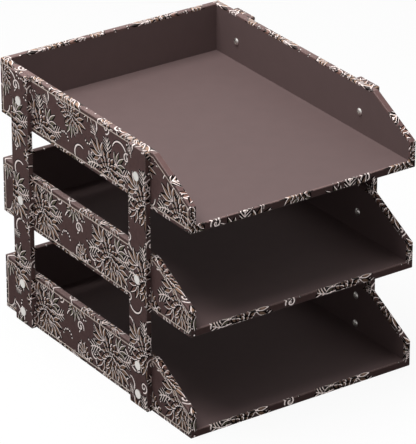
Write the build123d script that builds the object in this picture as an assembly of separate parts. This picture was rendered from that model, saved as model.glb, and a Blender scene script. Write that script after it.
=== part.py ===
from build123d import *
import os

# A desk tray in three tiers: wrapped board trays between four screwed posts.
# The front is open and faces -Y, +Z is up, and the origin is at the middle of the underside.

# Trays, measured over the printed cover
TRAY_WIDTH = 275.0
TRAY_DEPTH = 352.0
WALL_HEIGHT = 62.0
FRONT_HEIGHT = 29.0  # of the side walls at the open front
SLOPE_LENGTH = 64.0  # from the front back to the full wall height
TRAY_GAP = 52.0  # from one tray's rim up to the underside of the next tray
TRAY_NAMES = ("bottom", "middle", "top")

# Boards, and the sheets pasted on them
WALL_BOARD = 6.0
BASE_BOARD = 7.0
COVER_SHEET = 0.5
LINING_SHEET = 0.5
RIM_MARGIN = 2.5  # strip of cover that shows round each lining
FACING_MARGIN = 3.8  # strip of cover that shows round each outer facing
UNDER_MARGIN = 12.0  # strip of cover turned in under the base
EDGE_ROUND_SHARE = 2.0  # radius of a wrapped edge, as a share of the cover's thickness

# Posts
POST_WIDTH = 32.0
POST_BOARD = 5.0
FRONT_POST_GAP = 6.0  # from the top of the slope to the front posts
REAR_POST_GAP = 29.0  # from the rear posts to the trays' rear face

# Binding screws: a capped barrel from outside and a cross-recessed screw from inside
BARREL_DIAMETER = 5.0
HOLE_CLEARANCE = 0.1  # round the barrel in the boards and sheets
BARREL_END_GAP = 1.0  # from the barrel's open end to the screw's head
CAP_DIAMETER = 10.0
CAP_HEIGHT = 1.8
CAP_RIM = 0.9  # height of the cap where its crown starts
SCREW_DIAMETER = 3.5
THREAD_CLEARANCE = 0.05
SCREW_TIP_GAP = 1.5  # from the screw's tip to the end of the bore
HEAD_DIAMETER = 8.0
HEAD_HEIGHT = 2.2
HEAD_RIM = 0.5
RECESS_LENGTH = 4.4
RECESS_WIDTH = 1.1
RECESS_DEPTH = 1.2
SCREW_FLOOR_GAP = 2.5  # from the floor lining to the lowest screw heads

# How far every cutting tool reaches past what it cuts
OVERRUN = 1.0

# Sizes worked out from those above
HALF_WIDTH = TRAY_WIDTH / 2
FRONT = -TRAY_DEPTH / 2
REAR = TRAY_DEPTH / 2
WALL = COVER_SHEET + WALL_BOARD + LINING_SHEET
BASE = COVER_SHEET + BASE_BOARD + LINING_SHEET
EDGE_ROUND = EDGE_ROUND_SHARE * COVER_SHEET
BOARD_OUTSIDE = HALF_WIDTH - COVER_SHEET
BOARD_INSIDE = BOARD_OUTSIDE - WALL_BOARD
LINING_INSIDE = HALF_WIDTH - WALL
BACK_BOARD_FRONT = REAR - COVER_SHEET - WALL_BOARD
BACK_LINING_FRONT = REAR - WALL
BASE_BOARD_TOP = COVER_SHEET + BASE_BOARD
PITCH = WALL_HEIGHT + TRAY_GAP
TRAY_LEVELS = {name: tier * PITCH for tier, name in enumerate(TRAY_NAMES)}
POST = POST_BOARD + 2 * COVER_SHEET
POST_TOP = TRAY_LEVELS[TRAY_NAMES[-1]] + WALL_HEIGHT
POST_PLACES = {
    "front": FRONT + SLOPE_LENGTH + FRONT_POST_GAP + POST_WIDTH / 2,
    "rear": REAR - REAR_POST_GAP - POST_WIDTH / 2,
}
GRIP = POST + WALL
LOW_SCREW = BASE + SCREW_FLOOR_GAP + HEAD_DIAMETER / 2
SCREW_HEIGHTS = {name: [WALL_HEIGHT / 2] for name in TRAY_NAMES}
SCREW_HEIGHTS[TRAY_NAMES[0]] = [LOW_SCREW, WALL_HEIGHT - LOW_SCREW]


def block(low, high):
    """A box between two opposite corners."""
    sides = [top - bottom for bottom, top in zip(low, high)]
    return Pos(*low) * Box(*sides, align=(Align.MIN, Align.MIN, Align.MIN))


def rod(radius, start, end):
    """A round bar along X."""
    bar = Cylinder(radius, end - start, rotation=(0, 90, 0), align=(Align.CENTER, Align.CENTER, Align.MIN))
    return Pos(start, 0, 0) * bar


def crowned_disc(diameter, rim, height):
    """A disc lying at x = 0 with a crowned face towards +X."""
    radius = diameter / 2
    rise = height - rim
    crown_radius = (radius**2 + rise**2) / (2 * rise)
    straight = Polyline((height, 0), (0, 0), (0, radius), (rim, radius))
    crown = RadiusArc((rim, radius), (height, 0), crown_radius)
    return revolve(make_face(straight + crown), Axis.X)


def side_slab(start, end, inset=0):
    """A slab across X with the side wall's outline, drawn in by the inset along every edge."""
    corners = [
        (FRONT, 0),
        (REAR, 0),
        (REAR, WALL_HEIGHT),
        (FRONT + SLOPE_LENGTH, WALL_HEIGHT),
        (FRONT, FRONT_HEIGHT),
    ]
    outline = make_face(Polyline(*corners, close=True))
    if inset:
        outline = offset(outline, -inset, kind=Kind.INTERSECTION)
    return Pos(start, 0, 0) * extrude(Plane.YZ * outline, end - start, dir=(1, 0, 0))


def mirrored(shape):
    """The same piece on the right-hand side."""
    return mirror(shape, about=Plane.YZ)


def side_holes(heights):
    """Barrel holes through the left wall and post, at every post and each given height."""
    bore = rod(BARREL_DIAMETER / 2 + HOLE_CLEARANCE, -HALF_WIDTH - POST - OVERRUN, OVERRUN - LINING_INSIDE)
    return [Pos(0, place, height) * bore for place in POST_PLACES.values() for height in heights]


def tray_body():
    """One whole tray over its sheets, with rounded edges."""
    plain = fillet(side_slab(-HALF_WIDTH, HALF_WIDTH).edges(), EDGE_ROUND)
    cavity_low = (-LINING_INSIDE, FRONT - OVERRUN, BASE)
    cavity = block(cavity_low, (LINING_INSIDE, BACK_LINING_FRONT, WALL_HEIGHT + OVERRUN))
    hollow = plain - cavity
    inner_rim = new_edges(plain, cavity, combined=hollow)
    return fillet(inner_rim, EDGE_ROUND)


def base_board():
    low = (-BOARD_INSIDE, FRONT + COVER_SHEET, COVER_SHEET)
    return block(low, (BOARD_INSIDE, BACK_BOARD_FRONT, BASE_BOARD_TOP))


def back_board():
    low = (-BOARD_INSIDE, BACK_BOARD_FRONT, COVER_SHEET)
    return block(low, (BOARD_INSIDE, REAR - COVER_SHEET, WALL_HEIGHT - COVER_SHEET))


def left_board(holes):
    return side_slab(-BOARD_OUTSIDE, -BOARD_INSIDE, COVER_SHEET) - holes


def left_lining(holes):
    sheet = side_slab(-BOARD_INSIDE, -LINING_INSIDE, RIM_MARGIN)
    reach_low = (-HALF_WIDTH, FRONT, BASE_BOARD_TOP)
    return (sheet & block(reach_low, (0, BACK_BOARD_FRONT, WALL_HEIGHT))) - holes


def back_lining():
    low = (-LINING_INSIDE, BACK_LINING_FRONT, BASE_BOARD_TOP)
    return block(low, (LINING_INSIDE, BACK_BOARD_FRONT, WALL_HEIGHT - RIM_MARGIN))


def floor_lining():
    low = (-LINING_INSIDE, FRONT + RIM_MARGIN, BASE_BOARD_TOP)
    return block(low, (LINING_INSIDE, BACK_LINING_FRONT, BASE))


def left_facing(holes):
    return side_slab(-HALF_WIDTH, -BOARD_OUTSIDE, FACING_MARGIN) - holes


def back_facing():
    low = (FACING_MARGIN - HALF_WIDTH, REAR - COVER_SHEET, FACING_MARGIN)
    return block(low, (HALF_WIDTH - FACING_MARGIN, REAR, WALL_HEIGHT - FACING_MARGIN))


def under_sheet():
    low = (UNDER_MARGIN - HALF_WIDTH, FRONT + UNDER_MARGIN, 0)
    return block(low, (HALF_WIDTH - UNDER_MARGIN, REAR - UNDER_MARGIN, COVER_SHEET))


def tray(heights):
    """The pieces of one tray standing at z = 0, by name."""
    holes = side_holes(heights)
    pieces = {
        "base_board": base_board(),
        "back_board": back_board(),
        "left_board": left_board(holes),
        "floor_lining": floor_lining(),
        "back_lining": back_lining(),
        "left_lining": left_lining(holes),
        "back_facing": back_facing(),
        "left_facing": left_facing(holes),
        "under_sheet": under_sheet(),
    }
    pieces["right_board"] = mirrored(pieces["left_board"])
    pieces["right_lining"] = mirrored(pieces["left_lining"])
    pieces["right_facing"] = mirrored(pieces["left_facing"])
    covered = list(pieces.values()) + holes + [mirrored(hole) for hole in holes]
    pieces["printed_cover"] = tray_body() - covered
    return pieces


def post_screw_heights():
    """Heights of all the screws in one post."""
    return [level + height for name, level in TRAY_LEVELS.items() for height in SCREW_HEIGHTS[name]]


def left_post(place):
    """Board and printed cover of a left-hand post."""
    low = (-HALF_WIDTH - POST, place - POST_WIDTH / 2, 0)
    high = (-HALF_WIDTH, place + POST_WIDTH / 2, POST_TOP)
    board_low = [corner + COVER_SHEET for corner in low]
    board_high = [corner - COVER_SHEET for corner in high]
    holes = side_holes(post_screw_heights())
    board = block(board_low, board_high) - holes
    cover = fillet(block(low, high).edges(), EDGE_ROUND) - board - holes
    return {"post_board": board, "post_cover": cover}


def barrel_nut():
    """Crowned cap and bored barrel; x = 0 is the post's outer face."""
    cap = mirrored(crowned_disc(CAP_DIAMETER, CAP_RIM, CAP_HEIGHT))
    barrel_end = GRIP - BARREL_END_GAP
    bore = rod(SCREW_DIAMETER / 2 + THREAD_CLEARANCE, 0, barrel_end + OVERRUN)
    return cap + rod(BARREL_DIAMETER / 2, 0, barrel_end) - bore


def binding_screw():
    """Cross-recessed head and shank; x = 0 is the post's outer face."""
    head = Pos(GRIP, 0, 0) * crowned_disc(HEAD_DIAMETER, HEAD_RIM, HEAD_HEIGHT)
    floor = GRIP + HEAD_HEIGHT - RECESS_DEPTH
    top = GRIP + HEAD_HEIGHT + OVERRUN
    slot = block((floor, -RECESS_LENGTH / 2, -RECESS_WIDTH / 2), (top, RECESS_LENGTH / 2, RECESS_WIDTH / 2))
    cross = slot + Rot(90, 0, 0) * slot
    return head + rod(SCREW_DIAMETER / 2, SCREW_TIP_GAP, GRIP) - cross


def left_fasteners(place):
    """Barrel nuts and screws of a left-hand post, as two groups of separate solids."""
    groups = {}
    for name, fastener in (("barrel_nuts", barrel_nut()), ("screws", binding_screw())):
        copies = [Pos(-HALF_WIDTH - POST, place, height) * fastener for height in post_screw_heights()]
        groups[name] = Compound(children=copies)
    return groups


def all_pieces():
    """Every piece in its place, by node name."""
    nodes = {}
    for tray_name, level in TRAY_LEVELS.items():
        for piece, shape in tray(SCREW_HEIGHTS[tray_name]).items():
            nodes[f"{tray_name}_tray_{piece}"] = Pos(0, 0, level) * shape
    for row, place in POST_PLACES.items():
        for piece, shape in {**left_post(place), **left_fasteners(place)}.items():
            nodes[f"{row}_left_{piece}"] = shape
            nodes[f"{row}_right_{piece}"] = mirrored(shape)
    return nodes


os.makedirs("parts", exist_ok=True)
for node, shape in all_pieces().items():
    export_step(shape, f"parts/{node}.step")
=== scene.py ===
"""Looks of a desk tray in three tiers: boards wrapped in printed paper, between four screwed posts."""

import math
from functools import partial

import bpy
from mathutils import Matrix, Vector


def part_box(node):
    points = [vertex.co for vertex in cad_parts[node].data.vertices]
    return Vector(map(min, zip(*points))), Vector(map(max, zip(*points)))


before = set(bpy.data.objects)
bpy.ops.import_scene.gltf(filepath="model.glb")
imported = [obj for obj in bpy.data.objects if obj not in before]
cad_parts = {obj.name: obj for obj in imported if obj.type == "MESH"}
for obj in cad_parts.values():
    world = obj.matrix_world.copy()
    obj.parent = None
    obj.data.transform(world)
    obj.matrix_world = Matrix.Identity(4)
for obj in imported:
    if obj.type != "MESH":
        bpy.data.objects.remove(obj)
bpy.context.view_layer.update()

MM_PER_METRE = 1000.0


def millimetres(metres):
    """A length of the frame in millimetres, to the micrometre."""
    return round(metres * MM_PER_METRE, 3)


# Sizes read from the frame, in millimetres
WALL_OUTSIDE, HALF_DEPTH, WALL_HEIGHT = map(millimetres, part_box("bottom_tray_printed_cover")[1])
WALL_INSIDE = millimetres(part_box("bottom_tray_right_lining")[0].x)
FACING_MARGIN = millimetres(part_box("bottom_tray_right_facing")[0].z)
TIER_PITCH = millimetres(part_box("middle_tray_printed_cover")[0].z)
TOP_TRAY_LEVEL = millimetres(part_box("top_tray_printed_cover")[0].z)

# The sloping front of the side walls, in millimetres as in the part's source, and how its rim faces
SLOPE_RUN = 64.0
SLOPE_RISE = 33.0
SLOPE_LENGTH = math.hypot(SLOPE_RUN, SLOPE_RISE)
SLOPE_FACING = (0.0, -SLOPE_RISE / SLOPE_LENGTH, SLOPE_RUN / SLOPE_LENGTH)


def linear(hex_colour):
    """An sRGB hex colour as linear RGBA."""
    parts = [int(hex_colour[i : i + 2], 16) / 255 for i in (1, 3, 5)]
    return [p / 12.92 if p <= 0.04045 else ((p + 0.055) / 1.055) ** 2.4 for p in parts] + [1.0]


def node(tree, kind, inputs=(), out=0, **settings):
    """Adds a node with its settings, fills or links its inputs, and returns one of its outputs."""
    made = tree.nodes.new(kind if kind.startswith("Node") else "ShaderNode" + kind)
    for name, value in settings.items():
        setattr(made, name, value)
    for key, value in inputs.items() if isinstance(inputs, dict) else enumerate(inputs):
        if isinstance(value, bpy.types.NodeSocket):
            tree.links.new(value, made.inputs[key])
        else:
            made.inputs[key].default_value = value
    return made.outputs[out] if len(made.outputs) else None


# A soft step from 0 to 1, which stays within these by itself
SOFT_STEP = {"interpolation_type": "SMOOTHSTEP", "clamp": False}

# A mix takes the share of its second, and its two places or its two colours, at these sockets.
SHARE = 0
FIRST_PLACE = 4
SECOND_PLACE = 5
UNDER = 6
OVER = 7
MIXED_PLACES = {"out": 1, "data_type": "VECTOR"}
MIXED_COLOURS = {"out": 2, "data_type": "RGBA"}

# Spans of a noise pattern: nearly all of it, and less of it where more contrast is wanted
NOISE_SPAN = (0.3, 0.7)
NOISE_MIDDLE = (0.35, 0.65)


def begin_material(name):
    """An empty node material, and what adds nodes to it."""
    material = bpy.data.materials.new(name)
    material.use_nodes = True
    material.node_tree.nodes.clear()
    return material, partial(node, material.node_tree)


def object_place(n):
    """The place on the object, in millimetres."""
    metres = n("TexCoord", out="Object")
    return n("VectorMath", {0: metres, "Scale": MM_PER_METRE}, operation="SCALE")


def begin_motif(name, **sockets):
    """An empty node group for one motif, what it is given, and what adds nodes to it.

    A motif is drawn over the colour under it. Inside it nothing is clamped and no socket changes type: the
    renderer puts such steps off to the end and keeps the values of all motifs until then, which is more than
    it has room for.
    """
    tree = bpy.data.node_groups.new(name, "ShaderNodeTree")
    kinds = {"colour": "NodeSocketColor", "vector": "NodeSocketVector", "number": "NodeSocketFloat"}
    for socket, kind in {"under": "colour", **sockets}.items():
        tree.interface.new_socket(socket, in_out="INPUT", socket_type=kinds[kind])
    tree.interface.new_socket("colour", in_out="OUTPUT", socket_type="NodeSocketColor")
    given = node(tree, "NodeGroupInput").node.outputs
    return tree, given, partial(node, tree)


def polar(n, given):
    """Distance from a motif's middle, and the turn from its across direction, from -0.5 to 0.5."""
    square = n("Math", (given["across"], given["across"]), operation="MULTIPLY")
    square = n("Math", (given["up"], given["up"], square), operation="MULTIPLY_ADD")
    radius = n("Math", (square,), operation="SQRT")
    angle = n("Math", (given["up"], given["across"]), operation="ARCTAN2")
    return radius, n("Math", (angle, math.tau), operation="DIVIDE")


# Inks of the printed sheet
GROUND_INK = "#755c5a"
KEY_INK = "#160e0d"
TAN_INK = "#aa8872"
PALE_INK = "#fff0ec"
SAGE_INK = "#86806c"
ROSE_INK = "#8a675c"

# Lengths in the print and its motifs are millimetres on a motif of full size.
INK_EDGE = 0.2
KEY_LINE = 1.0
STEM_HALF = 0.95
STROKE = 1.3

# Petals, leaves, beads and berries repeat in beats, and each sits in the middle of its beat.
HALF_BEAT = 0.5


def inked_leaf_motif():
    """A petal or leaf, from the depth inside its edge: a pale stroke on one side, a dark one opposite."""
    numbers = dict.fromkeys(("edge", "aside", "cover"), "number")
    tree, given, n = begin_motif("inked leaf", **numbers, ink="colour")
    lit = n("MapRange", (given["aside"], INK_EDGE, -INK_EDGE), **SOFT_STEP)
    stroke_ink = n("Mix", {SHARE: lit, UNDER: linear(KEY_INK), OVER: linear(PALE_INK)}, **MIXED_COLOURS)
    stroke = n("MapRange", (given["edge"], STROKE + INK_EDGE, STROKE), **SOFT_STEP)
    body = n("Mix", {SHARE: stroke, UNDER: given["ink"], OVER: stroke_ink}, **MIXED_COLOURS)
    outside = n("MapRange", (given["edge"], INK_EDGE, 0.0), **SOFT_STEP)
    keyed = n("Mix", {SHARE: outside, UNDER: body, OVER: linear(KEY_INK)}, **MIXED_COLOURS)
    near = n("MapRange", (given["edge"], -KEY_LINE - INK_EDGE, -KEY_LINE), **SOFT_STEP)
    shown = n("Math", (near, given["cover"]), operation="MULTIPLY")
    drawn = n("Mix", {SHARE: shown, UNDER: given["under"], OVER: keyed}, **MIXED_COLOURS)
    n("NodeGroupOutput", (drawn,))
    return tree


def petal_ring_motif(inked_leaf):
    """A ring of pointed petals, dark at the root."""
    # Shares of a petal's length
    narrows_from = 0.5
    dark_until = 0.5
    clear_from = 0.75
    numbers = dict.fromkeys(("radius", "turn", "count", "tip", "phase"), "number")
    tree, given, n = begin_motif("petal ring", **numbers, ink="colour")
    beat = n("Math", (given["turn"], given["count"], given["phase"]), operation="MULTIPLY_ADD")
    share = n("Math", (beat, HALF_BEAT, -HALF_BEAT), operation="WRAP")
    beat_angle = n("Math", (math.tau, given["count"]), operation="DIVIDE")
    beat_arc = n("Math", (beat_angle, given["radius"]), operation="MULTIPLY")
    aside = n("Math", (share, beat_arc), operation="MULTIPLY")
    off_axis = n("Math", (aside,), operation="ABSOLUTE")
    along = n("Math", (given["radius"], given["tip"]), operation="DIVIDE")
    narrowing = n("MapRange", (along, narrows_from, 1.0), clamp=False)
    narrowing = n("Math", (narrowing, 0.0), operation="MAXIMUM")
    narrowing = n("Math", (narrowing, narrowing), operation="MULTIPLY")
    share_left = n("Math", (narrowing, -HALF_BEAT, HALF_BEAT), operation="MULTIPLY_ADD")
    half_width = n("Math", (share_left, beat_arc), operation="MULTIPLY")
    edge = n("Math", (half_width, off_axis), operation="SUBTRACT")
    root = n("MapRange", (along, clear_from, dark_until), **SOFT_STEP)
    fill = n("Mix", {SHARE: root, UNDER: given["ink"], OVER: linear(KEY_INK)}, **MIXED_COLOURS)
    drawn = n("Group", (given["under"], edge, aside, 1.0, fill), node_tree=inked_leaf)
    n("NodeGroupOutput", (drawn,))
    return tree


# Rings of a blossom from the outside in: number of petals, their length, phase in beats and ink
BLOSSOM_RINGS = ((12, 21.0, 0.0, TAN_INK), (9, 15.0, 0.5, ROSE_INK), (6, 9.5, 0.25, TAN_INK))


def blossom_motif(petal_ring):
    """A full blossom about 42 mm across: three uneven rings of petals round a beaded eye."""
    lobes = 3
    lobe_angle = 0.8
    lobe_share = 0.13
    eye_radius = 4.2
    beads = 7
    bead_ring = 2.6
    bead_radius = 0.8
    tree, given, n = begin_motif("blossom", across="number", up="number")
    even_radius, turn = polar(n, given)
    lobe_wave = n("Math", (turn, lobes * math.tau, lobe_angle), operation="MULTIPLY_ADD")
    lobe_wave = n("Math", (lobe_wave,), operation="SINE")
    unevenness = n("Math", (lobe_wave, lobe_share, 1.0), operation="MULTIPLY_ADD")
    radius = n("Math", (even_radius, unevenness), operation="MULTIPLY")
    drawn = given["under"]
    for count, tip, phase, ink in BLOSSOM_RINGS:
        sockets = (drawn, radius, turn, count, tip, phase, linear(ink))
        drawn = n("Group", sockets, node_tree=petal_ring)
    beat = n("Math", (turn, beads), operation="MULTIPLY")
    share = n("Math", (beat, HALF_BEAT), operation="PINGPONG")
    beat_arc = n("Math", (radius, math.tau / beads), operation="MULTIPLY")
    across = n("Math", (share, beat_arc), operation="MULTIPLY")
    outward = n("Math", (radius, bead_ring), operation="SUBTRACT")
    from_bead = n("CombineXYZ", (across, outward))
    bead_distance = n("VectorMath", (from_bead,), out=1, operation="LENGTH")
    bead = n("MapRange", (bead_distance, bead_radius + INK_EDGE, bead_radius), **SOFT_STEP)
    eye = n("Mix", {SHARE: bead, UNDER: linear(KEY_INK), OVER: linear(PALE_INK)}, **MIXED_COLOURS)
    cover = n("MapRange", (radius, eye_radius, eye_radius - INK_EDGE), **SOFT_STEP)
    finished = n("Mix", {SHARE: cover, UNDER: drawn, OVER: eye}, **MIXED_COLOURS)
    n("NodeGroupOutput", (finished,))
    return tree


def daisy_motif(petal_ring):
    """A small flower 20 mm across: six petals round a pale eye with a dark middle."""
    petals = 6
    petal_length = 10.0
    eye_radius = 3.2
    middle_radius = 1.3
    tree, given, n = begin_motif("daisy", across="number", up="number")
    radius, turn = polar(n, given)
    sockets = (given["under"], radius, turn, petals, petal_length, 0.0, linear(TAN_INK))
    drawn = n("Group", sockets, node_tree=petal_ring)
    middle = n("MapRange", (radius, middle_radius, middle_radius + INK_EDGE), **SOFT_STEP)
    eye = n("Mix", {SHARE: middle, UNDER: linear(KEY_INK), OVER: linear(PALE_INK)}, **MIXED_COLOURS)
    cover = n("MapRange", (radius, eye_radius, eye_radius - INK_EDGE), **SOFT_STEP)
    finished = n("Mix", {SHARE: cover, UNDER: drawn, OVER: eye}, **MIXED_COLOURS)
    n("NodeGroupOutput", (finished,))
    return tree


def fan_motif(inked_leaf):
    """Five leaves fanned out from one point, 26 mm long in the middle, dark at the root."""
    leaves = 5
    leaf_turn = 0.084  # of a full turn, from one leaf to the next
    half_spread = leaves * leaf_turn / 2
    spread_edge = 0.002
    full_length = 26.0
    side_loss = 1.6  # share of the length lost for each full turn aside
    leaf_root = 4.0
    belly_width = 16.0
    belly_loss = 6.4  # makes a leaf fullest below its middle
    dark_until = 0.1
    clear_from = 0.35
    stalk_half = 0.5
    stalk_end = 5.5
    stalk_fade = 1.0
    tree, given, n = begin_motif("leaf fan", across="number", up="number", ink="colour")
    radius, turn = polar(n, given)
    swing = n("Math", (turn,), operation="ABSOLUTE")
    beat = n("Math", (turn, 1 / leaf_turn), operation="MULTIPLY")
    share = n("Math", (beat, HALF_BEAT, -HALF_BEAT), operation="WRAP")
    beat_arc = n("Math", (radius, leaf_turn * math.tau), operation="MULTIPLY")
    across = n("Math", (share, beat_arc), operation="MULTIPLY")
    off_axis = n("Math", (across,), operation="ABSOLUTE")
    length = n("Math", (swing, -side_loss * full_length, full_length), operation="MULTIPLY_ADD")
    along = n("MapRange", (radius, leaf_root, length), clamp=False)
    left = n("Math", (1.0, along), operation="SUBTRACT")
    belly = n("Math", (along, left), operation="MULTIPLY")
    fullness = n("Math", (along, -belly_loss, belly_width), operation="MULTIPLY_ADD")
    half_width = n("Math", (belly, fullness), operation="MULTIPLY")
    edge = n("Math", (half_width, off_axis), operation="SUBTRACT")
    within = n("MapRange", (swing, half_spread, half_spread - spread_edge), **SOFT_STEP)
    started = n("MapRange", (radius, leaf_root, leaf_root + INK_EDGE), **SOFT_STEP)
    before_end = n("Math", (length, radius), operation="SUBTRACT")
    ended = n("MapRange", (before_end, 0.0, INK_EDGE), **SOFT_STEP)
    leaf = n("Math", (started, ended), operation="MULTIPLY")
    leaf = n("Math", (leaf, within), operation="MULTIPLY")
    root = n("MapRange", (along, clear_from, dark_until), **SOFT_STEP)
    fill = n("Mix", {SHARE: root, UNDER: given["ink"], OVER: linear(KEY_INK)}, **MIXED_COLOURS)
    drawn = n("Group", (given["under"], edge, across, leaf, fill), node_tree=inked_leaf)
    stalk_line = n("MapRange", (off_axis, stalk_half + INK_EDGE, stalk_half), **SOFT_STEP)
    stalk_run = n("MapRange", (radius, stalk_end, stalk_end - stalk_fade), **SOFT_STEP)
    stalk = n("Math", (stalk_line, stalk_run), operation="MULTIPLY")
    stalk = n("Math", (stalk, within), operation="MULTIPLY")
    finished = n("Mix", {SHARE: stalk, UNDER: drawn, OVER: linear(PALE_INK)}, **MIXED_COLOURS)
    n("NodeGroupOutput", (finished,))
    return tree


def frond_motif(inked_leaf):
    """A feathered leaf 30 mm long on a bowed stalk."""
    length = 30.0
    bow_height = 3.0
    spacing = 6.0
    lean = 0.85  # how far a leaflet runs forward for each millimetre out
    lean_cosine = 0.76
    leaflet_half = 2.3
    leaflets_end = 27.5
    # The leaflets' reach swells as a half oval that would close a little past the tip.
    oval_end = 1.12
    oval_reach = 19.8
    least_reach = 0.01
    tip_share = 0.98
    stalk_half = 0.65
    stalk_start = -4.0
    stalk_end = 29.0
    start_fade = 0.5
    end_fade = 1.0
    tree, given, n = begin_motif("frond", across="number", up="number", ink="colour")
    run = given["across"]
    bow = n("Math", (run, math.pi / length), operation="MULTIPLY")
    bow = n("Math", (bow,), operation="SINE")
    from_stalk = n("Math", (bow, -bow_height, given["up"]), operation="MULTIPLY_ADD")
    off_stalk = n("Math", (from_stalk,), operation="ABSOLUTE")
    leaned_run = n("Math", (off_stalk, -lean, run), operation="MULTIPLY_ADD")
    beat = n("Math", (leaned_run, 1 / spacing), operation="MULTIPLY")
    share = n("Math", (beat, HALF_BEAT, -HALF_BEAT), operation="WRAP")
    across = n("Math", (share, spacing * lean_cosine), operation="MULTIPLY")
    off_axis = n("Math", (across,), operation="ABSOLUTE")
    along = n("MapRange", (run, 0.0, length), clamp=False)
    left = n("Math", (oval_end, along), operation="SUBTRACT")
    swell = n("Math", (along, left), operation="MULTIPLY")
    swell = n("Math", (swell,), operation="SQRT")
    reach = n("Math", (swell, oval_reach, least_reach), operation="MULTIPLY_ADD")
    outward = n("Math", (off_stalk, reach), operation="DIVIDE")
    taper = n("Math", (1.0, outward), operation="SUBTRACT")
    taper = n("Math", (taper,), operation="SQRT")
    half_width = n("Math", (taper, leaflet_half), operation="MULTIPLY")
    edge = n("Math", (half_width, off_axis), operation="SUBTRACT")
    started = n("MapRange", (leaned_run, 0.0, 2 * INK_EDGE), **SOFT_STEP)
    ended = n("MapRange", (leaned_run, leaflets_end, leaflets_end - INK_EDGE), **SOFT_STEP)
    outline = n("MapRange", (edge, -KEY_LINE - INK_EDGE, -KEY_LINE), **SOFT_STEP)
    within = n("MapRange", (outward, 1.0, tip_share), **SOFT_STEP)
    leaf = n("Math", (outline, started), operation="MULTIPLY")
    leaf = n("Math", (leaf, ended), operation="MULTIPLY")
    leaf = n("Math", (leaf, within), operation="MULTIPLY")
    drawn = n("Group", (given["under"], edge, across, leaf, given["ink"]), node_tree=inked_leaf)
    stalk_line = n("MapRange", (off_stalk, stalk_half + INK_EDGE, stalk_half), **SOFT_STEP)
    stalk_started = n("MapRange", (run, stalk_start, stalk_start + start_fade), **SOFT_STEP)
    stalk_ended = n("MapRange", (run, stalk_end, stalk_end - end_fade), **SOFT_STEP)
    stalk = n("Math", (stalk_line, stalk_started), operation="MULTIPLY")
    stalk = n("Math", (stalk, stalk_ended), operation="MULTIPLY")
    finished = n("Mix", {SHARE: stalk, UNDER: drawn, OVER: linear(PALE_INK)}, **MIXED_COLOURS)
    n("NodeGroupOutput", (finished,))
    return tree


def keyed_line_motif():
    """A pale stroke with a dark key line along both its sides, from the depth inside its edge."""
    tree, given, n = begin_motif("keyed line", edge="number", run="number")
    key = n("MapRange", (given["edge"], -KEY_LINE - INK_EDGE, -KEY_LINE), **SOFT_STEP)
    key = n("Math", (key, given["run"]), operation="MULTIPLY")
    keyed = n("Mix", {SHARE: key, UNDER: given["under"], OVER: linear(KEY_INK)}, **MIXED_COLOURS)
    pale = n("MapRange", (given["edge"], -INK_EDGE, 0.0), **SOFT_STEP)
    pale = n("Math", (pale, given["run"]), operation="MULTIPLY")
    drawn = n("Mix", {SHARE: pale, UNDER: keyed, OVER: linear(PALE_INK)}, **MIXED_COLOURS)
    n("NodeGroupOutput", (drawn,))
    return tree


def curl_motif(keyed_line):
    """A spiral tendril about 18 mm across."""
    pitch = 5.6
    end_radius = 8.0
    end_growth = 2.5  # over the last turn
    tree, given, n = begin_motif("curl", across="number", up="number")
    radius, turn = polar(n, given)
    coils = n("Math", (radius, pitch), operation="DIVIDE")
    winding = n("Math", (coils, turn), operation="SUBTRACT")
    share = n("Math", (winding, HALF_BEAT), operation="PINGPONG")
    edge = n("Math", (share, -pitch, STEM_HALF), operation="MULTIPLY_ADD")
    last = n("Math", (turn, end_growth, end_radius), operation="MULTIPLY_ADD")
    before_end = n("Math", (last, radius), operation="SUBTRACT")
    run = n("MapRange", (before_end, 0.0, INK_EDGE), **SOFT_STEP)
    drawn = n("Group", (given["under"], edge, run), node_tree=keyed_line)
    n("NodeGroupOutput", (drawn,))
    return tree


# A stem or a string of berries fades from this share of its half sweep to its end.
SWEEP_FADE = 0.99


def stem_motif(keyed_line):
    """Part of a ring round the across direction, thickest in the middle, as a bare stem."""
    thinning = 0.4
    numbers = dict.fromkeys(("across", "up", "bend", "half_sweep"), "number")
    tree, given, n = begin_motif("stem", **numbers)
    radius, turn = polar(n, given)
    swing = n("Math", (turn,), operation="ABSOLUTE")
    along = n("Math", (swing, given["half_sweep"]), operation="DIVIDE")
    off_ring = n("Math", (radius, given["bend"]), operation="SUBTRACT")
    off_ring = n("Math", (off_ring,), operation="ABSOLUTE")
    half_width = n("Math", (along, -thinning, STEM_HALF), operation="MULTIPLY_ADD")
    edge = n("Math", (half_width, off_ring), operation="SUBTRACT")
    run = n("MapRange", (along, 1.0, SWEEP_FADE), **SOFT_STEP)
    drawn = n("Group", (given["under"], edge, run), node_tree=keyed_line)
    n("NodeGroupOutput", (drawn,))
    return tree


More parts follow.
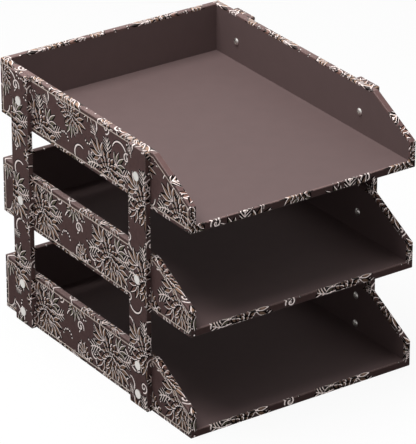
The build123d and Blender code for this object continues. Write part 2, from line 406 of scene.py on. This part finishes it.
def berries_motif(keyed_line):
    """Round berries strung along part of a ring round the across direction, largest in the middle."""
    largest_radius = 1.3
    shrinking = 0.4
    numbers = dict.fromkeys(("across", "up", "bend", "half_sweep", "count"), "number")
    tree, given, n = begin_motif("berries", **numbers)
    radius, turn = polar(n, given)
    swing = n("Math", (turn,), operation="ABSOLUTE")
    along = n("Math", (swing, given["half_sweep"]), operation="DIVIDE")
    beat = n("Math", (turn, given["count"]), operation="MULTIPLY")
    share = n("Math", (beat, HALF_BEAT), operation="PINGPONG")
    beat_angle = n("Math", (math.tau, given["count"]), operation="DIVIDE")
    beat_arc = n("Math", (beat_angle, radius), operation="MULTIPLY")
    across = n("Math", (share, beat_arc), operation="MULTIPLY")
    outward = n("Math", (radius, given["bend"]), operation="SUBTRACT")
    from_berry = n("CombineXYZ", (across, outward))
    distance = n("VectorMath", (from_berry,), out=1, operation="LENGTH")
    berry_radius = n("Math", (along, -shrinking, largest_radius), operation="MULTIPLY_ADD")
    edge = n("Math", (berry_radius, distance), operation="SUBTRACT")
    run = n("MapRange", (along, 1.0, SWEEP_FADE), **SOFT_STEP)
    drawn = n("Group", (given["under"], edge, run), node_tree=keyed_line)
    n("NodeGroupOutput", (drawn,))
    return tree


# The print has two layers with repeats of their own, so that no plain grid shows.
# Width and height of each repeat, in millimetres
FILLER_REPEAT = (91.0, 67.0)
FLOWER_REPEAT = (128.0, 84.0)

# Motif, place across and up in millimetres, turn in degrees, size, then what the motif takes besides:
# a stem's bend and half sweep in turns, the same for berries and their count round a full ring, or an ink
FILLER_PLACES = (
    ("stem", -20, 8, 117, 1.0, (13.0, 0.275)),
    ("stem", 18, -16, 279, 1.0, (11.0, 0.275)),
    ("stem", 30, 22, 180, 1.0, (9.0, 0.3)),
    ("stem", -38, -20, 27, 1.0, (10.0, 0.275)),
    ("curl", -33, 8, 20, 0.8, ()),
    ("curl", 30, -12, 200, 0.8, ()),
    ("curl", 4, 27, 100, 0.75, ()),
    ("berries", -8, -14, 90, 0.9, (9.0, 0.25, 13)),
    ("berries", 38, 4, 243, 0.9, (7.0, 0.27, 10)),
    ("berries", -40, 24, 315, 0.9, (7.0, 0.27, 9)),
    ("frond", 24, 10, 60, 0.45, (TAN_INK,)),
    ("frond", -22, -26, 200, 0.45, (SAGE_INK,)),
)
FLOWER_PLACES = (
    ("frond", 16, -2, -12, 0.8, (SAGE_INK,)),
    ("frond", -16, 4, 170, 0.75, (TAN_INK,)),
    ("frond", 2, 14, 82, 0.7, (SAGE_INK,)),
    ("frond", -66, 44, 110, 0.7, (TAN_INK,)),
    ("fan", 13, 9, 36, 0.95, (TAN_INK,)),
    ("fan", -13, -9, 214, 0.95, (TAN_INK,)),
    ("fan", -13, 10, 140, 0.8, (SAGE_INK,)),
    ("fan", 12, -11, -42, 0.8, (ROSE_INK,)),
    ("fan", -1, -12, 268, 0.75, (TAN_INK,)),
    ("fan", -50, 40, 20, 0.75, (ROSE_INK,)),
    ("fan", -66, 32, 190, 0.8, (TAN_INK,)),
    ("fan", -58, 26, 268, 0.7, (SAGE_INK,)),
    ("fan", 50, -20, 60, 0.6, (TAN_INK,)),
    ("fan", 40, -32, 235, 0.65, (ROSE_INK,)),
    ("blossom", -58, 34, 12, 0.7, ()),
    ("blossom", 0, 0, 0, 0.9, ()),
    ("daisy", 44, -26, 30, 1.0, ()),
    ("daisy", -36, -32, 5, 0.8, ()),
)


def floral_print():
    """The whole print as one group: from a place on the flat sheet, in millimetres, to its colour."""
    inked_leaf = inked_leaf_motif()
    petal_ring = petal_ring_motif(inked_leaf)
    keyed_line = keyed_line_motif()
    motifs = {
        "blossom": blossom_motif(petal_ring),
        "daisy": daisy_motif(petal_ring),
        "fan": fan_motif(inked_leaf),
        "frond": frond_motif(inked_leaf),
        "curl": curl_motif(keyed_line),
        "stem": stem_motif(keyed_line),
        "berries": berries_motif(keyed_line),
    }
    tree, given, n = begin_motif("floral print", place="vector")
    drawn = given["under"]
    layers = ((FILLER_REPEAT, FILLER_PLACES), (FLOWER_REPEAT, FLOWER_PLACES))
    for (repeat_width, repeat_height), places in layers:
        most = (repeat_width / 2, repeat_height / 2, 1.0)
        least = (-repeat_width / 2, -repeat_height / 2, -1.0)
        for motif, across, up, turn, size, rest in places:
            moved = n("VectorMath", (given["place"], (across, up, 0.0)), operation="SUBTRACT")
            repeated = n("VectorMath", (moved, most, least), operation="WRAP")
            cosine = math.cos(math.radians(turn)) / size
            sine = math.sin(math.radians(turn)) / size
            own_across = n("VectorMath", (repeated, (cosine, sine, 0.0)), out=1, operation="DOT_PRODUCT")
            own_up = n("VectorMath", (repeated, (-sine, cosine, 0.0)), out=1, operation="DOT_PRODUCT")
            extras = [linear(value) if isinstance(value, str) else value for value in rest]
            drawn = n("Group", (drawn, own_across, own_up, *extras), node_tree=motifs[motif])
    n("NodeGroupOutput", (drawn,))
    return tree


# Where the print starts on each sheet, along it and up it, in millimetres
SIDE_PRINT_START = (-30.0, 31.0)
BACK_PRINT_START = (12.0, 27.0)
COVER_PRINT_START = (-74.0, 14.0)
POST_PRINT_START = (-104.0, 60.0)

# The print starts this much higher on the top tray than on the other two, in millimetres
TOP_TRAY_SHIFT = 66.0

# Millimetres below a tray's underside and inside a wall's inner face that still count as theirs
NEARNESS = 1.0

# A surface is on an end, front or rear, and not on a side, where it faces along Y by more than this.
END_FACING = 0.7

# Border printed along the cut edges of the facings, in millimetres
BORDER_LINE = 1.1
BORDER_INK = "#e3d3c8"


def place_on_own_tray(n, place):
    """The place from the origin of the tray that it is on, and how far the print is moved there."""
    x, y, z = n("SeparateXYZ", (place,)).node.outputs
    height = n("Math", (z, TIER_PITCH - NEARNESS, -NEARNESS), operation="WRAP")
    on_top_tray = n("Math", (z, TOP_TRAY_LEVEL - NEARNESS), operation="GREATER_THAN")
    shift = n("VectorMath", {0: (0.0, TOP_TRAY_SHIFT, 0.0), "Scale": on_top_tray}, operation="SCALE")
    return n("CombineXYZ", (x, y, height)), shift


def unfolded_place(n, place, facing_y, on_trays):
    """The place on the flat sheet, in millimetres.

    The sheet runs up a face and on over its rim, so a height on it takes in the way across the rim.
    """
    x, y, z = n("SeparateXYZ", (place,)).node.outputs
    out_from_middle = n("Math", (x,), operation="ABSOLUTE")
    side_height = n("Math", (z, out_from_middle), operation="SUBTRACT")
    side_height = n("Math", (side_height, WALL_OUTSIDE), operation="ADD")
    end_height = n("Math", (z, y), operation="SUBTRACT")
    end_height = n("Math", (end_height, HALF_DEPTH), operation="ADD")
    side_place = n("CombineXYZ", (y, side_height))
    end_place = n("CombineXYZ", (x, end_height))
    on_end = n("Math", (facing_y, END_FACING), operation="GREATER_THAN")
    if on_trays:
        between_walls = n("Math", (out_from_middle, WALL_INSIDE - NEARNESS), operation="LESS_THAN")
        on_end = n("Math", (on_end, between_walls), operation="MAXIMUM")
    sockets = {SHARE: on_end, FIRST_PLACE: side_place, SECOND_PLACE: end_place}
    return n("Mix", sockets, **MIXED_PLACES)


def border_share(n, tray_place, trim):
    """1 on the border inside the lines along which a facing is cut, and 0 further in."""
    depth = 2 * HALF_DEPTH
    for direction, reach in trim:
        along = n("VectorMath", (tray_place, direction), out=1, operation="DOT_PRODUCT")
        inside = n("Math", (reach, along), operation="SUBTRACT")
        depth = n("Math", (depth, inside), operation="MINIMUM")
    return n("MapRange", (depth, BORDER_LINE + INK_EDGE, BORDER_LINE), **SOFT_STEP)


# Pale rubbed paper, which also paints a highlight along the folds and a sheen on the level rims: its colour,
# the size of the marks in millimetres, and the least and most that shows through
PALE_WEAR_AND_SHEEN = "#d6c9c4"
WEAR_AND_SHEEN_MARK = 1.1
WEAR_AND_SHEEN_SHARES = (0.02, 0.18)

# Rubbing, with a painted highlight in it, starts, and is full, where a fold faces the nearest flat direction
# by no more than these
FOLD_WEAR_AND_HIGHLIGHT_STARTS = 0.998
FOLD_WEAR_AND_HIGHLIGHT_FULL = 0.97

# Painted sheen starts, and is full, where a rim faces up by no less than these
RIM_SHEEN_STARTS = 0.92
RIM_SHEEN_FULL = 0.98


def wear_and_sheen_share(n, place, facing, facing_sizes):
    """How much a place is paled: rubbed along the folds, which also paints a highlight there, and painted
    with sheen on the level rims.
    """
    along_slope = n("VectorMath", (facing, SLOPE_FACING), out=1, operation="DOT_PRODUCT")
    flattest = n("Math", (facing_sizes["X"], facing_sizes["Y"]), operation="MAXIMUM")
    flattest = n("Math", (flattest, facing_sizes["Z"]), operation="MAXIMUM")
    flattest = n("Math", (flattest, along_slope), operation="MAXIMUM")
    # Folds are rubbed paler, and that paleness also paints the highlight that a rounded fold catches.
    fold = n("MapRange", (flattest, FOLD_WEAR_AND_HIGHLIGHT_STARTS, FOLD_WEAR_AND_HIGHLIGHT_FULL), **SOFT_STEP)
    # Level rims that face up get a painted sheen, paler where the light from above falls on them.
    upward = n("VectorMath", (facing, (0.0, 0.0, 1.0)), out=1, operation="DOT_PRODUCT")
    rim = n("MapRange", (upward, RIM_SHEEN_STARTS, RIM_SHEEN_FULL), **SOFT_STEP)
    wear_and_sheen_place = n("Math", (fold, rim), operation="MAXIMUM")
    wear_and_sheen_marks = n("TexNoise", {"Vector": place, "Scale": 1 / WEAR_AND_SHEEN_MARK, "Detail": 4.0})
    wear_and_sheen_patches = n("MapRange", (wear_and_sheen_marks, *NOISE_MIDDLE, *WEAR_AND_SHEEN_SHARES), **SOFT_STEP)
    return n("Math", (wear_and_sheen_place, wear_and_sheen_patches), operation="MULTIPLY")


# Printed paper: sizes of its patterns in millimetres, and the tones and roughness that they give
INK_CLOUD = 4.5
INK_TONES = (0.92, 1.08)
PAPER_GRAIN = 0.5
PRINT_ROUGHNESS = (0.6, 0.72)

# Brightness of an ink that just holds pearl pigment and of one that is full of it, and their shares of pearl
PEARL_INKS = (0.35, 0.8)
PEARL_SHARES = (0.0, 0.46)


def printed_paper(floral, name, start, trim=(), on_trays=True):
    """Laminated printed paper, pasted round board and folded over its edges.

    A thin, nearly matte film lies over the print. The pale ink holds a pearl pigment, which mirrors the
    bright room whichever way the sheet faces. Folds are rubbed a little paler, which also paints a
    highlight along them, level rims are painted paler as a sheen, and the sheet shows a fine fibre grain.
    trim lists the lines along which a facing is cut, each as the direction that it faces and its distance
    from the tray's origin. on_trays says whether the sheet is on the trays, each of which takes the print
    anew, or on a post.
    """
    material, n = begin_material(name)
    place = object_place(n)
    facing = n("NewGeometry", out="Normal")
    facing_sizes = n("VectorMath", (facing,), operation="ABSOLUTE")
    facing_sizes = n("SeparateXYZ", (facing_sizes,)).node.outputs
    own_place, shift = place_on_own_tray(n, place) if on_trays else (place, (0.0, 0.0, 0.0))
    sheet_place = unfolded_place(n, own_place, facing_sizes["Y"], on_trays)
    print_place = n("VectorMath", (sheet_place, (*start, 0.0)), operation="SUBTRACT")
    print_place = n("VectorMath", (print_place, shift), operation="SUBTRACT")

    # Ink lies a little unevenly, in clouds a few millimetres across.
    printed = n("Group", (linear(GROUND_INK), print_place), node_tree=floral)
    clouds = n("TexNoise", {"Vector": place, "Scale": 1 / INK_CLOUD, "Detail": 3.0})
    tone = n("MapRange", (clouds, *NOISE_SPAN, *INK_TONES))
    colour = n("Mix", {SHARE: 1.0, UNDER: printed, OVER: tone}, **MIXED_COLOURS, blend_type="MULTIPLY")
    if trim:
        border = border_share(n, own_place, trim)
        colour = n("Mix", {SHARE: border, UNDER: colour, OVER: linear(BORDER_INK)}, **MIXED_COLOURS)
    # Rubbing with a painted highlight along the folds, and painted sheen on the level rims that face up
    rubbed = wear_and_sheen_share(n, place, facing, facing_sizes)
    colour = n("Mix", {SHARE: rubbed, UNDER: colour, OVER: linear(PALE_WEAR_AND_SHEEN)}, **MIXED_COLOURS)
    paleness = n("RGBToBW", (colour,))
    pearl = n("MapRange", (paleness, *PEARL_INKS, *PEARL_SHARES), **SOFT_STEP)

    # The grain of such paper is about 0.2 mm, and is drawn coarser so that a close view shows it.
    grain = n("TexNoise", {"Vector": place, "Scale": 1 / PAPER_GRAIN, "Detail": 2.0})
    sockets = {
        "Base Color": colour,
        "Metallic": pearl,
        "Roughness": n("MapRange", (grain, *NOISE_SPAN, *PRINT_ROUGHNESS)),
        "IOR": 1.5,
        "Specular IOR Level": 0.04,
        "Normal": n("Bump", {"Strength": 0.12, "Distance": 0.1 / MM_PER_METRE, "Height": grain}),
    }
    n("OutputMaterial", (n("BsdfPrincipled", sockets),))
    return material


# Lining paper: its dye, sizes of its patterns in millimetres, and the tones and roughness that they give
LINING_DYE = "#614e4d"
DYE_CLOUD = 17.0
DYE_TONES = (0.97, 1.03)
FIBRE_LENGTH = 3.0
FIBRE_WIDTH = 0.4
FIBRE_TONES = (0.95, 1.05)
LINING_ROUGHNESS = (0.74, 0.84)


def lining_paper():
    """Uncoated dyed paper, pasted flat: a dull even surface with short fibres in it."""
    material, n = begin_material("dyed_lining_paper")
    place = object_place(n)
    clouds = n("TexNoise", {"Vector": place, "Scale": 1 / DYE_CLOUD, "Detail": 3.0})
    cloud_tone = n("MapRange", (clouds, *NOISE_SPAN, *DYE_TONES))
    # Such fibres are about 2 mm long and 0.1 mm wide, and are drawn coarser so that a close view shows them.
    fibre_scale = (1 / FIBRE_WIDTH, 1 / FIBRE_LENGTH, 1 / FIBRE_WIDTH)
    fibre_lay = n("Mapping", {"Vector": place, "Scale": fibre_scale})
    fibres = n("TexNoise", {"Vector": fibre_lay, "Scale": 1.0, "Detail": 3.0, "Distortion": 0.6})
    fibre_tone = n("MapRange", (fibres, *NOISE_MIDDLE, *FIBRE_TONES))
    tone = n("Math", (cloud_tone, fibre_tone), operation="MULTIPLY")
    dye_sockets = {SHARE: 1.0, UNDER: linear(LINING_DYE), OVER: tone}
    sockets = {
        "Base Color": n("Mix", dye_sockets, **MIXED_COLOURS, blend_type="MULTIPLY"),
        "Roughness": n("MapRange", (fibres, *NOISE_SPAN, *LINING_ROUGHNESS)),
        "IOR": 1.5,
        "Specular IOR Level": 0.5,
        "Normal": n("Bump", {"Strength": 0.2, "Distance": 0.1 / MM_PER_METRE, "Height": fibres}),
    }
    n("OutputMaterial", (n("BsdfPrincipled", sockets),))
    return material


# Fibreboard: its two browns, and the size of its speckle in millimetres
FELT_DARK = "#7d6347"
FELT_LIGHT = "#a88a66"
FELT_SPECKLE = 0.8


def fibreboard():
    """Pressed wood-fibre board: brown, with a felted speckle, seen only where a cut edge is bare."""
    material, n = begin_material("pressed_fibreboard")
    place = object_place(n)
    felt = n("TexNoise", {"Vector": place, "Scale": 1 / FELT_SPECKLE, "Detail": 5.0, "Roughness": 0.65})
    felt_tone = n("MapRange", (felt, *NOISE_SPAN), **SOFT_STEP)
    brown_sockets = {SHARE: felt_tone, UNDER: linear(FELT_DARK), OVER: linear(FELT_LIGHT)}
    sockets = {
        "Base Color": n("Mix", brown_sockets, **MIXED_COLOURS),
        "Roughness": 0.85,
        "IOR": 1.5,
        "Specular IOR Level": 0.2,
        "Normal": n("Bump", {"Strength": 0.3, "Distance": 0.2 / MM_PER_METRE, "Height": felt}),
    }
    n("OutputMaterial", (n("BsdfPrincipled", sockets),))
    return material


# Nickel plate: its tints, sizes of its patterns in millimetres, the scratches' tilt in radians, roughness
NICKEL_DULL = "#bfbbb6"
NICKEL_BRIGHT = "#ece9e5"
SCRATCH_LENGTH = 2.5
SCRATCH_WIDTH = 0.17
SCRATCH_DEPTH = 1.0
SCRATCH_TILT = 0.6
SMEAR = 2.0
NICKEL_ROUGHNESS = (0.32, 0.44)


def plated_steel():
    """Nickel-plated steel, turned and tumbled: bright and a little soft, with faint handling scratches."""
    material, n = begin_material("nickel_plated_steel")
    place = object_place(n)
    # Such scratches are about 0.02 mm wide, and are drawn coarser so that a close view shows them.
    scratch_scale = (1 / SCRATCH_DEPTH, 1 / SCRATCH_LENGTH, 1 / SCRATCH_WIDTH)
    scratch_turn = (SCRATCH_TILT, 0.0, 0.0)
    scratch_lay = n("Mapping", {"Vector": place, "Rotation": scratch_turn, "Scale": scratch_scale})
    scratches = n("TexNoise", {"Vector": scratch_lay, "Scale": 1.0, "Detail": 4.0})
    smears = n("TexNoise", {"Vector": place, "Scale": 1 / SMEAR, "Detail": 2.0})
    tint_sockets = {SHARE: scratches, UNDER: linear(NICKEL_DULL), OVER: linear(NICKEL_BRIGHT)}
    sockets = {
        "Base Color": n("Mix", tint_sockets, **MIXED_COLOURS),
        "Metallic": 1.0,
        "Roughness": n("MapRange", (smears, *NOISE_SPAN, *NICKEL_ROUGHNESS)),
        "Normal": n("Bump", {"Strength": 0.15, "Distance": 0.05 / MM_PER_METRE, "Height": scratches}),
    }
    n("OutputMaterial", (n("BsdfPrincipled", sockets),))
    return material


def facing_trims():
    """The lines along which the side facings and the back facing are cut."""
    slope_top = SLOPE_FACING[1] * (SLOPE_RUN - HALF_DEPTH) + SLOPE_FACING[2] * WALL_HEIGHT
    top_and_bottom = [((0, 0, 1), WALL_HEIGHT - FACING_MARGIN), ((0, 0, -1), -FACING_MARGIN)]
    side_ends = [((0, side, 0), HALF_DEPTH - FACING_MARGIN) for side in (1, -1)]
    back_ends = [((side, 0, 0), WALL_OUTSIDE - FACING_MARGIN) for side in (1, -1)]
    slope = [(SLOPE_FACING, slope_top - FACING_MARGIN)]
    return top_and_bottom + side_ends + slope, top_and_bottom + back_ends


def dress_nodes():
    """Gives every piece of the frame its material, by the end of its name."""
    paper = partial(printed_paper, floral_print())
    side_trim, back_trim = facing_trims()
    side_paper = paper("laminated_printed_paper_side", SIDE_PRINT_START, side_trim)
    back_paper = paper("laminated_printed_paper_back", BACK_PRINT_START, back_trim)
    tray_paper = paper("laminated_printed_paper_tray", COVER_PRINT_START)
    post_paper = paper("laminated_printed_paper_post", POST_PRINT_START, on_trays=False)
    lining = lining_paper()
    board = fibreboard()
    steel = plated_steel()
    finishes = {
        "left_facing": side_paper,
        "right_facing": side_paper,
        "back_facing": back_paper,
        "printed_cover": tray_paper,
        "post_cover": post_paper,
        "lining": lining,
        "under_sheet": lining,
        "board": board,
        "barrel_nuts": steel,
        "screws": steel,
    }
    for name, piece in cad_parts.items():
        ending = next(ending for ending in finishes if name.endswith(ending))
        piece.data.materials.clear()
        piece.data.materials.append(finishes[ending])


def seen_directly(n):
    """1 where a ray comes from the camera, from gloss or through glass, and 0 for light in passing."""
    rays = n("LightPath").node.outputs
    seen = n("Math", (rays["Is Camera Ray"], rays["Is Glossy Ray"]), operation="MAXIMUM")
    return n("Math", (seen, rays["Is Transmission Ray"]), operation="MAXIMUM")


# Floor, in metres: half its width, and how far it lies below the part so that the two never share a plane
FLOOR_HALF = 20.0
FLOOR_DROP = 0.0002

# Floor paint: what is seen, what light in passing meets, and how much of what is seen glows by itself
WHITE = "#ffffff"
FLOOR_GREY = "#505050"
FLOOR_GLOW = 0.92


def make_floor():
    """A wide pale floor that looks white, takes a faint shadow and throws back little light."""
    mesh = bpy.data.meshes.new("studio_floor")
    corners = [(x * FLOOR_HALF, y * FLOOR_HALF, 0.0) for x, y in ((-1, -1), (1, -1), (1, 1), (-1, 1))]
    mesh.from_pydata(corners, [], [(0, 1, 2, 3)])
    floor = bpy.data.objects.new("studio_floor", mesh)
    floor.location.z = -FLOOR_DROP
    bpy.context.scene.collection.objects.link(floor)
    material, n = begin_material("studio_floor_paint")
    seen = seen_directly(n)
    paint = n("Mix", {SHARE: seen, UNDER: linear(FLOOR_GREY), OVER: linear(WHITE)}, **MIXED_COLOURS)
    matte = n("BsdfDiffuse", {"Color": paint})
    glow = n("Emission", {"Color": linear(WHITE), "Strength": 1.0})
    glow_share = n("Math", (seen, FLOOR_GLOW), operation="MULTIPLY")
    n("OutputMaterial", (n("MixShader", (glow_share, matte, glow)),))
    mesh.materials.append(material)


# Soft box, in metres and watts, and the direction in which it hangs from its aim
LAMP_SIZE = 1.2
LAMP_POWER = 24.0
LAMP_DISTANCE = 1.4
LAMP_AIM = Vector((0.0, 0.0, 0.19))
TOWARDS_LAMP = Vector((-0.27, 0.07, 0.96))

# Fill light: its strength all round, and what it gains at most in the direction behind the right
FILL_STRENGTH = 0.1
REAR_FILL_STRENGTH = 0.55
REAR_FILL = (0.78, 0.6, 0.17)


def make_lamp():
    """One broad soft lamp above and to the left."""
    lamp = bpy.data.lights.new("soft_box", "AREA")
    lamp.shape = "DISK"
    lamp.size = LAMP_SIZE
    lamp.energy = LAMP_POWER
    light = bpy.data.objects.new("soft_box", lamp)
    light.location = LAMP_AIM + TOWARDS_LAMP * LAMP_DISTANCE
    light.rotation_mode = "QUATERNION"
    light.rotation_quaternion = (-TOWARDS_LAMP).to_track_quat("-Z", "Y")
    bpy.context.scene.collection.objects.link(light)


def make_fill():
    """A white room to look at, which gives a dim fill light, stronger from behind the right."""
    world = bpy.data.worlds.new("studio")
    world.use_nodes = True
    world.node_tree.nodes.clear()
    n = partial(node, world.node_tree)
    seen = seen_directly(n)
    direction = n("TexCoord", out="Generated")
    from_rear = n("VectorMath", (direction, REAR_FILL), out=1, operation="DOT_PRODUCT")
    from_rear = n("Math", (from_rear, 0.0), operation="MAXIMUM")
    strength = n("Math", (from_rear, REAR_FILL_STRENGTH, FILL_STRENGTH), operation="MULTIPLY_ADD")
    fill = n("Background", {"Color": linear(WHITE), "Strength": strength})
    white = n("Background", {"Color": linear(WHITE), "Strength": 1.0})
    n("OutputWorld", (n("MixShader", (seen, fill, white)),))
    bpy.context.scene.world = world


# Camera: degrees round from the front and up, metres to its aim and to the last it sees, millimetres of lens
CAMERA_AZIMUTH = -34.402
CAMERA_ELEVATION = 26.037
CAMERA_AIM = Vector((-0.00701, -0.01564, 0.14117))
CAMERA_DISTANCE = 3.7438
CAMERA_REACH = 100.0
LENS = 293.3
SENSOR_WIDTH = 36.0


def make_camera():
    """A long lens at the photograph's viewing angle, meant for a frame of 416 by 444."""
    azimuth = math.radians(CAMERA_AZIMUTH)
    elevation = math.radians(CAMERA_ELEVATION)
    level = math.cos(elevation)
    back = Vector((math.sin(azimuth) * level, -math.cos(azimuth) * level, math.sin(elevation)))
    data = bpy.data.cameras.new("camera")
    data.lens = LENS
    data.sensor_width = SENSOR_WIDTH
    data.clip_end = CAMERA_REACH
    camera = bpy.data.objects.new("camera", data)
    camera.location = CAMERA_AIM + back * CAMERA_DISTANCE
    camera.rotation_mode = "QUATERNION"
    camera.rotation_quaternion = (-back).to_track_quat("-Z", "Y")
    bpy.context.scene.collection.objects.link(camera)
    bpy.context.scene.camera = camera


make_camera()
dress_nodes()
make_floor()
make_lamp()
make_fill()
bpy.context.scene.view_settings.view_transform = "Standard"
